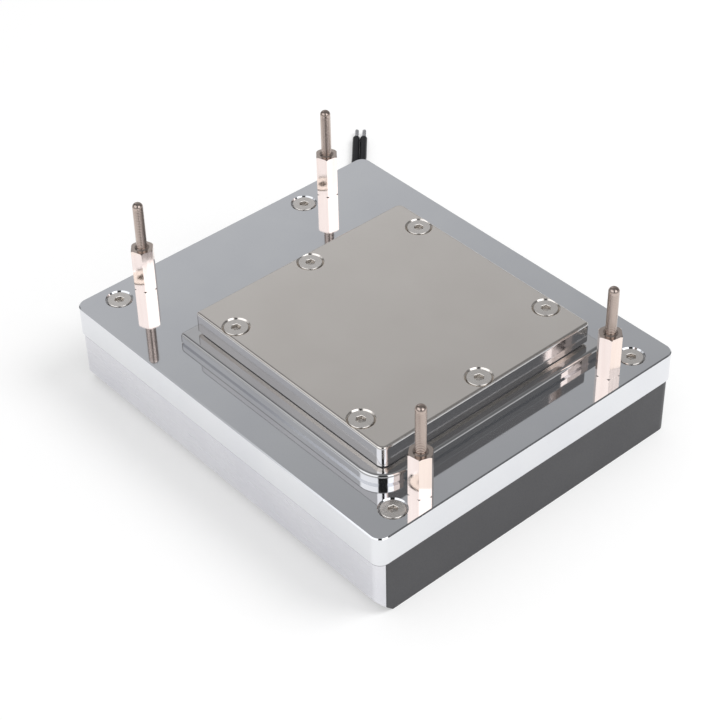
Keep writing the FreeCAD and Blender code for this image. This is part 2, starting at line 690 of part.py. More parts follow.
def build():
    nodes = {}
    nodes["base_plate"] = base_plate()
    nodes["manifold"] = manifold()
    nodes["front_trim"] = front_trim()
    nodes["chamber_seal"] = chamber_seal()
    nodes["flow_plate"] = flow_plate()
    nodes["inlet_port_collar"] = port_collar(INLET_X)
    nodes["outlet_port_collar"] = port_collar(OUTLET_X)
    nodes["inlet_collar_seal"] = collar_seal(INLET_X)
    nodes["outlet_collar_seal"] = collar_seal(OUTLET_X)
    for k, (x, y) in enumerate(base_screw_places(), 1):
        nodes["insert_%d" % k] = insert(x, y)
        nodes["base_screw_%d" % k] = flat_head_screw(x, y, PLATE_TOP, 12.0 + 23.0 * k)
    nodes["tier_frame"] = tier_frame()
    nodes["contact_gasket"] = contact_gasket()
    nodes["contact_plate"] = contact_plate()
    for k, (x, y) in enumerate(contact_screw_places(), 1):
        nodes["contact_screw_%d" % k] = flat_head_screw(x, y, CONTACT_TOP, 5.0 + 17.0 * k)
    z = PLATE_TOP
    nodes["lower_thermal_pad"] = square_sheet(MODULE_SIZE, z, z + PAD_T)
    z += PAD_T
    nodes["module_lower_ceramic"] = square_sheet(MODULE_SIZE, z, z + CERAMIC_T)
    nodes["module_pellets"] = module_pellets()
    nodes["module_seal"] = module_seal()
    z += CERAMIC_T + PELLET_H
    nodes["module_upper_ceramic"] = square_sheet(MODULE_SIZE, z, z + CERAMIC_T)
    z += CERAMIC_T
    nodes["upper_thermal_pad"] = square_sheet(MODULE_SIZE, z, CONTACT_BOTTOM)
    nodes["insulation_ring"] = insulation_ring()
    for k, (x, y) in enumerate(stud_places(), 1):
        nodes["standoff_%d" % k] = standoff(x, y, HEX_VERTEX_DEG[k - 1])
        nodes["stud_%d" % k] = stud(x, y)
    nodes["lead_grommet"] = lead_grommet()
    for letter, sign in (("a", 1), ("b", -1)):
        nodes["inner_lead_" + letter] = inner_lead(-sign)
        nodes["outer_lead_" + letter] = outer_lead(sign, "outer_lead_" + letter)
        nodes["lead_tip_" + letter] = lead_tip(sign)
    return nodes


def main():
    os.makedirs("parts", exist_ok=True)
    for name, shape in build().items():
        if not shape.isValid() or shape.Volume <= 0.0:
            print("check", name, shape.isValid(), shape.Volume)
        shape.exportStep("parts/" + name + ".step")
        size = shape.BoundBox
        print("%-22s solids %3d  volume %9.1f  z %6.2f to %6.2f" % (
            name, len(shape.Solids), shape.Volume, size.ZMin, size.ZMax
        ))


main()
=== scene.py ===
"""Looks of a liquid cooling cold plate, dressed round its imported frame."""
import logging
import math
from dataclasses import dataclass
from enum import Enum

import bmesh
import bpy
import numpy as np
from mathutils import Matrix


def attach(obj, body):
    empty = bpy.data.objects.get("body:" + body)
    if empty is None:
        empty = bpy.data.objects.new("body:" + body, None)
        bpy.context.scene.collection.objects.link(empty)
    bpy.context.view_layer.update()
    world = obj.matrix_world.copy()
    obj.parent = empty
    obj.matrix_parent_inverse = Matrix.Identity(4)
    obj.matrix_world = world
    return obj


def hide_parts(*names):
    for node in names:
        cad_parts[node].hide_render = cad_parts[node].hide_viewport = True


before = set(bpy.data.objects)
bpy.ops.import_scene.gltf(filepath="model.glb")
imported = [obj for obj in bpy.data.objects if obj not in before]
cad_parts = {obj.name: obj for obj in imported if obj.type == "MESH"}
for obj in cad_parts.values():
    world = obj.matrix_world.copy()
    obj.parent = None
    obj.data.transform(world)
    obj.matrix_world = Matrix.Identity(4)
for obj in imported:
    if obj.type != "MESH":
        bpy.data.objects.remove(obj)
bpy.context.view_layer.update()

LOG = logging.getLogger("cold_plate")
MM = 0.001
BODY = "root"
UPRIGHT = np.array([0.0, 0.0, 1.0])
Pair = tuple[float, float]
Point = tuple[float, float, float]
Colour = tuple[float, float, float]
Socket = bpy.types.NodeSocket
Piece = bpy.types.Object

# Heights of the part, in millimetres, as its source gives them
PLATE_TOP = 22.3
CONTACT_TOP = 31.0
STUD_TIP = 45.75

# Places of the screws in plan, in millimetres, as the source gives them
CONTACT_SCREWS = (
    (-11.95, -28.65), (-11.95, 26.15), (-18.9, -1.25),
    (29.45, -28.65), (29.45, 26.15), (36.4, -1.25),
)
BASE_SCREWS = ((-47.0, -35.7), (47.0, -35.7), (47.0, 35.7), (-47.0, 20.3))

# Where most of a noise texture's values lie, and the layers of the noise that makes working marks
NOISE_RANGE = (0.3, 0.7)
MARK_DETAIL = 4.0


class Grain(Enum):
    """How the surface of a metal piece was worked, which sets the run of its fine marks."""

    POLISHED = (1.0, 1.0, 1.0)
    BRUSHED_X = (0.02, 1.0, 1.0)
    DRAWN_Z = (1.0, 1.0, 0.03)


class Kind(Enum):
    """What a mix is made of."""

    NUMBERS = "FLOAT"
    COLOURS = "RGBA"


class Bench:
    """Adds and links the shader nodes of one tree."""

    def __init__(self, tree: bpy.types.NodeTree) -> None:
        """Clears the tree."""
        self.tree = tree
        tree.nodes.clear()

    def add(self, kind: str, **settings: object) -> bpy.types.Node:
        """Adds a node.

        Args:
            kind: the node's type name.
            **settings: attributes to set on it.

        Returns:
            The new node.
        """
        node = self.tree.nodes.new(kind)
        for key, value in settings.items():
            setattr(node, key, value)
        return node

    def link(self, source: Socket, target: Socket) -> None:
        """Joins an output socket to an input socket."""
        self.tree.links.new(source, target)

    def plug(self, value: float | Colour | Socket, target: Socket) -> None:
        """Sets an input to a number or a colour, or joins an output to it.

        Args:
            value: a number, a colour as linear RGB, or an output socket.
            target: the input socket.
        """
        if isinstance(value, Socket):
            self.link(value, target)
        else:
            target.default_value = value if isinstance(value, float) else (*value, 1.0)

    def blend(
        self, factor: Socket, first: float | Colour | Socket, second: float | Colour | Socket,
        kind: Kind = Kind.COLOURS,
    ) -> Socket:
        """Mixes two colours or two numbers.

        Args:
            factor: 0 gives the first, and 1 the second.
            first: a colour, a number or a socket.
            second: another.
            kind: which of the two they are.

        Returns:
            The mixed colour or number.
        """
        node = self.add("ShaderNodeMix", data_type=kind.value)
        live_inputs = [socket for socket in node.inputs if socket.enabled]
        for value, target in zip((factor, first, second), live_inputs):
            self.plug(value, target)
        return next(socket for socket in node.outputs if socket.enabled)

    def span(self, value: Socket, source: Pair, target: Pair = (0.0, 1.0)) -> Socket:
        """Carries one range of values over to another, and stops at its ends.

        Args:
            value: the value to carry over.
            source: the two ends of the range that it comes from.
            target: what those two ends become.

        Returns:
            The value carried over.
        """
        node = self.add("ShaderNodeMapRange")
        for name, number in zip(("From Min", "From Max", "To Min", "To Max"), source + target):
            node.inputs[name].default_value = number
        self.link(value, node.inputs["Value"])
        return node.outputs["Result"]

    def compute(self, operation: str, *values: float | Socket) -> Socket:
        """Does one step of arithmetic.

        Args:
            operation: the step's name, such as MULTIPLY.
            *values: numbers or sockets, in the order that the step takes them.

        Returns:
            The result.
        """
        node = self.add("ShaderNodeMath", operation=operation)
        for value, target in zip(values, node.inputs):
            self.plug(value, target)
        return node.outputs["Value"]


class NodeBench(Bench):
    """Adds and links the shader nodes of one material."""

    def __init__(self, name: str) -> None:
        """Starts a material.

        Args:
            name: the material's name.
        """
        self.material = bpy.data.materials.new(name)
        self.material.use_nodes = True
        super().__init__(self.material.node_tree)
        self.out = self.add("ShaderNodeOutputMaterial")
        self.place = self.add("ShaderNodeTexCoord").outputs["Object"]

    def noise(
        self, per_metre: float, stretch: Point = (1.0, 1.0, 1.0), detail: float = 3.0
    ) -> Socket:
        """A noise pattern on object coordinates.

        Args:
            per_metre: how many cells lie in a metre.
            stretch: factors on X, Y and Z. A small one draws the cells out along its axis.
            detail: the number of finer layers.

        Returns:
            A value about 0.5.
        """
        mapping = self.add("ShaderNodeMapping")
        mapping.inputs["Scale"].default_value = stretch
        self.link(self.place, mapping.inputs["Vector"])
        texture = self.add("ShaderNodeTexNoise")
        texture.inputs["Scale"].default_value = per_metre
        texture.inputs["Detail"].default_value = detail
        self.link(mapping.outputs["Vector"], texture.inputs["Vector"])
        return texture.outputs["Fac"]

    def between(self, value: Socket, low: float, high: float) -> Socket:
        """Spreads a noise value over the range from low to high."""
        return self.span(value, NOISE_RANGE, (low, high))

    def bump(self, height: Socket, distance: float) -> Socket:
        """Turns a height into a surface normal.

        Args:
            height: a value about 0.5.
            distance: the height of 1, in metres.

        Returns:
            The bent normal.
        """
        node = self.add("ShaderNodeBump")
        node.inputs["Strength"].default_value = 1.0
        node.inputs["Distance"].default_value = distance
        self.link(height, node.inputs["Height"])
        return node.outputs["Normal"]

    def upright(self, vector: Socket) -> Socket:
        """The part of a vector that lies along Z.

        Args:
            vector: a place or a direction.

        Returns:
            Its Z.
        """
        split = self.add("ShaderNodeSeparateXYZ")
        self.link(vector, split.inputs["Vector"])
        return split.outputs["Z"]

    def facing_up(self, limits: Pair) -> Socket:
        """How far a surface faces up or down.

        Args:
            limits: the upright parts of the normal at which the result is 0 and 1.

        Returns:
            A value from 0 to 1.
        """
        normal = self.add("ShaderNodeTexCoord").outputs["Normal"]
        return self.span(self.compute("ABSOLUTE", self.upright(normal)), limits)

    def above(self, height: float, blur: float) -> Socket:
        """Tells what lies above a height, with a soft step of the blur each way, in metres."""
        return self.span(self.upright(self.place), (height - blur, height + blur))

    def principled(self, metallic: float = 0.0) -> bpy.types.Node:
        """Adds the main shader and joins it to the output.

        Args:
            metallic: 1 for a metal, 0 for anything else.

        Returns:
            The shader's node.
        """
        shader = self.add("ShaderNodeBsdfPrincipled")
        shader.inputs["Metallic"].default_value = metallic
        self.link(shader.outputs["BSDF"], self.out.inputs["Surface"])
        return shader


@dataclass(frozen=True)
class MetalFinish:
    """A bare or plated metal with fine marks from its working.

    Where a shade band's height is given, what lies above it is darkened to a painted shade, which
    stands in for the shadow under an overhanging part. Depths and heights are in metres.
    """

    name: str
    light: Colour
    dark: Colour
    rough_low: float
    rough_high: float
    grain: Grain = Grain.POLISHED
    marks_per_metre: float = 900.0
    mark_depth: float = 0.0
    cloud_per_metre: float = 60.0
    shade_band_height: float = 0.0
    shade_band_blur: float = 0.00006
    painted_shade: Colour = (0.5, 0.5, 0.5)

    def marks(self, bench: NodeBench) -> Socket:
        """Fine marks along the grain."""
        return bench.noise(self.marks_per_metre, self.grain.value, MARK_DETAIL)

    def material(self) -> bpy.types.Material:
        """Builds the material: clouded colour, uneven polish, and marks along the grain.

        Returns:
            The new material.
        """
        bench = NodeBench(self.name)
        shader = bench.principled(metallic=1.0)
        cloud = bench.noise(self.cloud_per_metre)
        colour = bench.blend(bench.between(cloud, 0.0, 1.0), self.light, self.dark)
        # Painted shade: above the given height the colour darkens, standing in for the shadow under
        # an overhanging part.
        if self.shade_band_height > 0.0:
            in_painted_shade = bench.above(self.shade_band_height, self.shade_band_blur)
            colour = bench.blend(in_painted_shade, colour, self.painted_shade)
        bench.link(colour, shader.inputs["Base Color"])
        marks = self.marks(bench)
        rough = bench.between(marks, self.rough_low, self.rough_high)
        bench.link(rough, shader.inputs["Roughness"])
        if self.mark_depth > 0.0:
            bench.link(bench.bump(marks, self.mark_depth), shader.inputs["Normal"])
        return bench.material


@dataclass(frozen=True)
class DullFinish:
    """A plastic, rubber, foam or ceramic with a fine texture."""

    name: str
    light: Colour
    dark: Colour
    roughness: float
    texture_per_metre: float = 2500.0
    texture_depth: float = 0.000004
    cloud_per_metre: float = 80.0
    gloss: float = 0.5
    texture_detail: float = 2.0
    rough_swing: float = 0.05

    def material(self) -> bpy.types.Material:
        """Builds the material: two close shades in clouds, under a fine moulded texture.

        Returns:
            The new material.
        """
        bench = NodeBench(self.name)
        shader = bench.principled()
        shader.inputs["Specular IOR Level"].default_value = self.gloss
        cloud = bench.between(bench.noise(self.cloud_per_metre), 0.0, 1.0)
        bench.link(bench.blend(cloud, self.light, self.dark), shader.inputs["Base Color"])
        fine = bench.noise(self.texture_per_metre, detail=self.texture_detail)
        limits = (self.roughness - self.rough_swing, self.roughness + self.rough_swing)
        bench.link(bench.between(fine, *limits), shader.inputs["Roughness"])
        bench.link(bench.bump(fine, self.texture_depth), shader.inputs["Normal"])
        return bench.material


@dataclass(frozen=True)
class FacedFinish:
    """Polished sides under a top that was faced to a warmer satin."""

    name: str
    top: MetalFinish
    side: MetalFinish
    top_facing: Pair = (0.50, 0.65)

    def material(self) -> bpy.types.Material:
        """Builds the material, which picks top or side by the surface's own normal.

        Returns:
            The new material.
        """
        bench = NodeBench(self.name)
        shader = bench.principled(metallic=1.0)
        is_top = bench.facing_up(self.top_facing)
        parts = (self.side, self.top)
        cloud = bench.between(bench.noise(self.top.cloud_per_metre), 0.0, 1.0)
        colours = [bench.blend(cloud, part.light, part.dark) for part in parts]
        bench.link(bench.blend(is_top, *colours), shader.inputs["Base Color"])
        marks = [part.marks(bench) for part in parts]
        rough = [
            bench.between(mark, part.rough_low, part.rough_high) for mark, part in zip(marks, parts)
        ]
        bench.link(bench.blend(is_top, *rough, Kind.NUMBERS), shader.inputs["Roughness"])
        bench.link(bench.bump(marks[1], self.top.mark_depth), shader.inputs["Normal"])
        return bench.material


@dataclass(frozen=True)
class StandoffFinish:
    """Bright sides and browner, duller turned ends, as a hexagonal bar has after facing."""

    name: str
    side: Colour
    side_dark: Colour
    end: Colour
    end_dark: Colour
    end_facing: Pair = (0.35, 0.6)
    drawn_per_metre: float = 1500.0
    turned_per_metre: float = 4000.0
    rough: Pair = (0.10, 0.18)
    mark_depth: float = 0.000003

    def material(self) -> bpy.types.Material:
        """Builds the material, which picks side or end by the surface's own normal.

        Returns:
            The new material.
        """
        bench = NodeBench(self.name)
        shader = bench.principled(metallic=1.0)
        drawn = bench.noise(self.drawn_per_metre, Grain.DRAWN_Z.value)
        turned = bench.noise(self.turned_per_metre)
        side = bench.blend(bench.between(drawn, 0.0, 1.0), self.side, self.side_dark)
        end = bench.blend(bench.between(turned, 0.0, 1.0), self.end, self.end_dark)
        colour = bench.blend(bench.facing_up(self.end_facing), side, end)
        bench.link(colour, shader.inputs["Base Color"])
        bench.link(bench.between(drawn, *self.rough), shader.inputs["Roughness"])
        bench.link(bench.bump(drawn, self.mark_depth), shader.inputs["Normal"])
        return bench.material


MIRROR_NICKEL = MetalFinish(
    "mirror_nickel", (0.80, 0.81, 0.83), (0.76, 0.77, 0.80), 0.03, 0.07, marks_per_metre=400.0
)
STEP_NICKEL = MetalFinish(
    "step_nickel", (0.75, 0.745, 0.745), (0.71, 0.705, 0.71), 0.04, 0.08, marks_per_metre=500.0
)
CONTACT_NICKEL = MetalFinish(
    "contact_nickel", (0.89, 0.84, 0.79), (0.85, 0.80, 0.75), 0.14, 0.22,
    Grain.BRUSHED_X, 9000.0, 0.0000012,
)
CONTACT_SIDE = MetalFinish(
    "contact_side", (0.77, 0.755, 0.755), (0.73, 0.715, 0.72), 0.08, 0.13, marks_per_metre=500.0
)
CONTACT_FACED = FacedFinish("contact_faced", CONTACT_NICKEL, CONTACT_SIDE)
# The trim's top band is darkened to a painted shade, standing in for the shadow under the base
# plate's overhang.
TRIM_ALUMINIUM = MetalFinish(
    "trim_aluminium", (0.78, 0.78, 0.81), (0.72, 0.72, 0.76), 0.25, 0.38,
    Grain.BRUSHED_X, 6000.0, 0.000001, shade_band_height=0.0141, painted_shade=(0.40, 0.40, 0.42),
)
SCREW_STEEL = MetalFinish(
    "screw_steel", (0.88, 0.84, 0.80), (0.82, 0.78, 0.74), 0.20, 0.30, marks_per_metre=2500.0,
    mark_depth=0.0000012, cloud_per_metre=400.0,
)
SOCKET_STEEL = MetalFinish(
    "socket_steel", (0.74, 0.71, 0.67), (0.66, 0.63, 0.60), 0.30, 0.38, marks_per_metre=2500.0
)
SCREW_FACED = FacedFinish("screw_faced", SCREW_STEEL, SOCKET_STEEL)
STUD_STEEL = MetalFinish(
    "stud_steel", (0.60, 0.50, 0.45), (0.50, 0.41, 0.36), 0.16, 0.24, marks_per_metre=2500.0
)
COLLAR_METAL = MetalFinish(
    "collar_metal", (0.74, 0.72, 0.67), (0.66, 0.64, 0.60), 0.18, 0.30, marks_per_metre=2000.0
)
INSERT_BRASS = MetalFinish(
    "insert_brass", (0.78, 0.60, 0.28), (0.70, 0.53, 0.24), 0.20, 0.34, marks_per_metre=2000.0
)
PELLET_METAL = MetalFinish(
    "pellet_metal", (0.34, 0.34, 0.37), (0.26, 0.26, 0.29), 0.40, 0.60, marks_per_metre=4000.0,
    mark_depth=0.000004,
)
TINNED_WIRE = MetalFinish(
    "tinned_wire", (0.80, 0.80, 0.81), (0.70, 0.70, 0.72), 0.22, 0.36, marks_per_metre=4000.0
)
BLOCK_BLACK = DullFinish("block_black", (0.055, 0.055, 0.060), (0.045, 0.045, 0.050), 0.42)
SEAL_BLACK = DullFinish("seal_black", (0.030, 0.030, 0.032), (0.022, 0.022, 0.024), 0.55)
GASKET_DARK = DullFinish("gasket_dark", (0.11, 0.11, 0.115), (0.08, 0.08, 0.085), 0.60)
PAD_GREY = DullFinish("pad_grey", (0.46, 0.47, 0.50), (0.40, 0.41, 0.44), 0.70)
CERAMIC_WHITE = DullFinish("ceramic_white", (0.84, 0.84, 0.82), (0.78, 0.78, 0.76), 0.45)
SEALANT_CREAM = DullFinish("sealant_cream", (0.78, 0.76, 0.70), (0.72, 0.70, 0.64), 0.50)
FOAM_BLACK = DullFinish("foam_black", (0.07, 0.07, 0.07), (0.04, 0.04, 0.04), 0.90, 1800.0, 0.00008)
LEAD_BLACK = DullFinish(
    "lead_black", (0.016, 0.016, 0.018), (0.011, 0.011, 0.013), 0.34, 3000.0, gloss=0.22
)
STANDOFF_BRIGHT = StandoffFinish(
    "standoff_bright",
    (0.95, 0.82, 0.75), (0.92, 0.78, 0.71), (0.62, 0.53, 0.48), (0.54, 0.46, 0.41),
)

Finish = MetalFinish | DullFinish | FacedFinish | StandoffFinish


def add_object(name: str, data: bpy.types.ID) -> Piece:
    """Adds an object to the scene.

    Args:
        name: the object's name.
        data: its mesh, curve, camera or light.

    Returns:
        The new object.
    """
    piece = bpy.data.objects.new(name, data)
    bpy.context.scene.collection.objects.link(piece)
    return piece


def surface(name: str, points: np.ndarray, sharp: float = 50.0) -> Piece:
    """Makes a closed surface from rings of points.

    Ring i and ring i + 1 are joined by four sided faces, the last point of a ring to its first, and
    each end is closed by a fan to the middle of its ring.

    Args:
        name: the object's name.
        points: an array of rings by points by 3, in metres. Each ring turns left, seen from the
            end of the piece.
        sharp: the angle in degrees past which an edge is a crease.

    Returns:
        The new object, its mesh in place.
    """
    rings, sides, _ = points.shape
    low = np.arange(rings - 1)[:, None] * sides
    near = np.arange(sides)
    far = (near + 1) % sides
    quads = np.stack([low + near, low + far, low + sides + far, low + sides + near], axis=-1)
    start_middle = np.full(sides, rings * sides)
    end_ring = (rings - 1) * sides
    start_fan = np.stack([start_middle, far, near], axis=-1)
    end_fan = np.stack([start_middle + 1, end_ring + near, end_ring + far], axis=-1)
    middles = [points[0].mean(axis=0)[None], points[-1].mean(axis=0)[None]]
    vertices = np.concatenate([points.reshape(-1, 3), *middles])
    faces = quads.reshape(-1, 4).tolist() + start_fan.tolist() + end_fan.tolist()
    mesh = bpy.data.meshes.new(name)
    mesh.from_pydata(vertices.tolist(), [], faces)
    mesh.polygons.foreach_set("use_smooth", np.ones(len(mesh.polygons), dtype=bool))
    mesh.set_sharp_from_angle(angle=math.radians(sharp))
    return add_object(name, mesh)


def tube_rings(line: np.ndarray, radius: np.ndarray, sides: int) -> np.ndarray:
    """Rings of a round tube.

    Each is a point of the line, plus the radius times the cosine and the sine of an angle along the
    two axes that lie across the line.

    Args:
        line: an array of points by 3, in metres.
        radius: one radius for each point.
        sides: points in a ring.

    Returns:
        An array of rings by sides by 3.
    """
    along = np.gradient(line, axis=0)
    along /= np.linalg.norm(along, axis=1, keepdims=True)
    first = np.cross(along, UPRIGHT)
    first /= np.linalg.norm(first, axis=1, keepdims=True)
    second = np.cross(along, first)
    turn = np.linspace(0.0, 2.0 * math.pi, sides, endpoint=False)
    ring = (
        np.cos(turn)[None, :, None] * first[:, None] + np.sin(turn)[None, :, None] * second[:, None]
    )
    return line[:, None] + radius[:, None, None] * ring


def thread_wave(height: np.ndarray, turn: np.ndarray, pitch: float) -> np.ndarray:
    """Depth of a screw thread as a part of its full depth.

    It is a triangle wave of the height over the pitch less the part of a turn, so that the crest
    climbs one pitch in each turn.

    Args:
        height: along the screw, in the pitch's unit.
        turn: round the screw, in radians.
        pitch: from crest to crest.

    Returns:
        An array of values from 0 to 1.
    """
    return np.abs(2.0 * np.mod(height / pitch - turn / (2.0 * math.pi), 1.0) - 1.0)


def dress(piece: Piece, material: bpy.types.Material) -> None:
    """Gives a piece one material in all its slots, replacing what it has.

    Args:
        piece: an object that has a mesh or a curve.
        material: what to put on it.
    """
    for index in range(max(1, len(piece.material_slots))):
        if index < len(piece.data.materials):
            piece.material_slots[index].link = "OBJECT"
            piece.material_slots[index].material = material
        else:
            piece.data.materials.append(material)


class SubAssembly:
    """What the sub-assemblies of one finish have in common."""

    finish: Finish

    def dress(self, pieces: list[Piece]) -> None:
        """Puts the finish on every piece.

        Args:
            pieces: what build returned.
        """
        material = self.finish.material()
        for piece in pieces:
            dress(piece, material)


@dataclass
class NodeGroup(SubAssembly):
    """Nodes of the frame that share one finish."""

    nodes: tuple[str, ...]
    finish: Finish

    def build(self) -> list[Piece]:
        """Takes the group's nodes as they are."""
        return [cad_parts[node] for node in self.nodes]


@dataclass
class CrispPlate(SubAssembly):
    """A plate of the raised stack that differs a little from its node, as the product does.

    Some of its corners are crisper, its walls may stand a little further in, and one of its two
    faces may lie lower. Sizes and places are in millimetres. Each corner is given by its side on X
    and on Y, its node's radius and its own. What lies within inset_band of a wall moves in with
    that wall, and what lies within rim of a wall and between the two lowered heights moves down by
    the drop.
    """

    node: str
    half_x: float
    half_y: float
    corners: tuple[tuple[int, int, float, float], ...]
    finish: Finish
    slot: str
    inset_low: Pair = (0.0, 0.0)
    inset_high: Pair = (0.0, 0.0)
    inset_band: float = 7.0
    lowered: Pair = (0.0, 0.0)
    drop: float = 0.0
    rim: float = 100.0
    middle: Pair = (8.75, -1.25)
    corner_slack: float = 0.01

    def squared(self, points: np.ndarray) -> np.ndarray:
        """Draws corners out to a smaller radius.

        A point's distance from the middle of its corner's arc becomes less by the difference of the
        two radii, and that middle moves out by the same difference on X and on Y, so the walls stay
        in place and each point keeps its normal.

        Args:
            points: an array of points by 3, in millimetres.

        Returns:
            The moved points.
        """
        moved = points.copy()
        for side_x, side_y, radius, crisp_radius in self.corners:
            cut = radius - crisp_radius
            out = np.array([side_x, side_y], dtype=float)
            half = np.array([self.half_x, self.half_y])
            arc_middle = np.array(self.middle) + out * (half - radius)
            away = points[:, :2] - arc_middle
            distance = np.linalg.norm(away, axis=1)
            near = (away * out > -self.corner_slack).all(axis=1) & (distance > cut)
            shrink = 1.0 - cut / distance[near]
            moved[near, :2] = arc_middle + cut * out + away[near] * shrink[:, None]
        return moved

    def seated(self, points: np.ndarray) -> np.ndarray:
        """Moves walls in and one face down.

        A point in the outer band on X or Y comes towards the middle by the inset of that side. A
        point between the two lowered heights, and in the rim, loses the drop from its height.

        Args:
            points: an array of points by 3, in millimetres.

        Returns:
            The moved points.
        """
        moved = points.copy()
        half = np.array([self.half_x, self.half_y]) - self.inset_band
        across = points[:, :2] - np.array(self.middle)
        inward = np.where(across < -half, self.inset_low, 0.0)
        moved[:, :2] += inward - np.where(across > half, self.inset_high, 0.0)
        low, high = self.lowered
        at_rim = (np.abs(across) > half + self.inset_band - self.rim).any(axis=1)
        at_height = (points[:, 2] > low) & (points[:, 2] < high)
        moved[:, 2] -= np.where(at_height & at_rim, self.drop, 0.0)
        return moved

    def build(self) -> list[Piece]:
        """Makes the plate from a copy of its node's mesh, with the copy's normals kept.

        Returns:
            The plate, alone in a list.
        """
        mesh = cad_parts[self.node].data.copy()
        mesh.name = self.node + "_crisp"
        normals = np.empty(len(mesh.loops) * 3)
        mesh.corner_normals.foreach_get("vector", normals)
        points = np.empty(len(mesh.vertices) * 3)
        mesh.vertices.foreach_get("co", points)
        moved = self.seated(self.squared(points.reshape(-1, 3) / MM)) * MM
        mesh.vertices.foreach_set("co", moved.ravel())
        mesh.update()
        mesh.normals_split_custom_set(normals.reshape(-1, 3).tolist())
        mesh.materials.clear()
        piece = add_object(self.node + "_crisp", mesh)
        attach(piece, BODY)
        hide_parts(self.node)
        return [piece]


@dataclass
class Studs(SubAssembly):
    """The four threaded studs, with their thread cut above the standoffs.

    Sizes are in millimetres. The first row of the thread and the last plain row stand first_row and
    plain_end above its start. The dome turns by dome_turn, in radians, and its last row by
    dome_end.
    """

    half_x: float = 47.0
    half_y: float = 28.0
    radius: float = 1.25
    shank_radius: float = 1.15
    root: float = 17.3
    thread_start: float = 33.4
    plain_end: float = 0.12
    first_row: float = 0.15
    pitch: float = 0.45
    thread_depth: float = 0.06
    run_out: float = 0.2
    dome: float = 1.1
    dome_turn: float = 1.5
    dome_end: float = 1.56
    dome_rows: int = 8
    foot_radius: float = 1.66
    foot_bottom: float = 32.9
    foot_top: float = 33.28
    sides: int = 32
    rows_per_turn: int = 8
    finish: Finish = STUD_STEEL

    def places(self) -> list[tuple[str, float, float]]:
        """Each stud's node name and place, in millimetres."""
        x, y = self.half_x, self.half_y
        return list(zip(numbered("stud", 4), (-x, -x, x, x), (-y, y, -y, y)))

    def rings(self, x: float, y: float) -> np.ndarray:
        """Rings of one stud.

        The radius is the full one less the thread depth times the thread's wave, faded in over one
        turn at the start and out at the dome. On the dome an angle rises from 0 to nearly a quarter
        turn: the radius is the full one times its cosine, and the height adds its sine. At the foot
        the stud widens to fill the mouth of the standoff.

        Args:
            x: place, in millimetres.
            y: place, in millimetres.

        Returns:
            An array of rings by points by 3, in metres.
        """
        shoulder = STUD_TIP - self.dome
        rows = int((shoulder - self.thread_start) / self.pitch * self.rows_per_turn)
        threaded = np.linspace(self.thread_start + self.first_row, shoulder, rows)
        rise = np.append(np.linspace(0.0, self.dome_turn, self.dome_rows + 1)[1:], self.dome_end)
        plain_end = self.thread_start + self.plain_end
        below = np.array([self.root, self.foot_bottom, self.foot_top, plain_end])
        heights = np.concatenate([below, threaded, shoulder + self.dome * np.sin(rise)])
        angle = np.linspace(0.0, 2.0 * math.pi, self.sides, endpoint=False)
        z, turn = np.meshgrid(heights, angle, indexing="ij")
        fade = np.clip((z - self.thread_start) / self.pitch, 0.0, 1.0)
        fade = fade * np.clip((shoulder - z) / self.pitch + self.run_out, 0.0, 1.0)
        radius = self.radius - self.thread_depth * thread_wave(z, turn, self.pitch) * fade
        radius[-len(rise):] = self.radius * np.cos(rise)[:, None]
        radius[:2] = self.shank_radius
        radius[2] = self.foot_radius
        return np.stack([x + radius * np.cos(turn), y + radius * np.sin(turn), z], axis=-1) * MM

    def build(self) -> list[Piece]:
        """Makes the four studs in place of their plain nodes.

        Returns:
            The studs.
        """
        pieces = []
        for node, x, y in self.places():
            piece = surface(node + "_threaded", self.rings(x, y))
            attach(piece, BODY)
            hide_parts(node)
            pieces.append(piece)
        return pieces


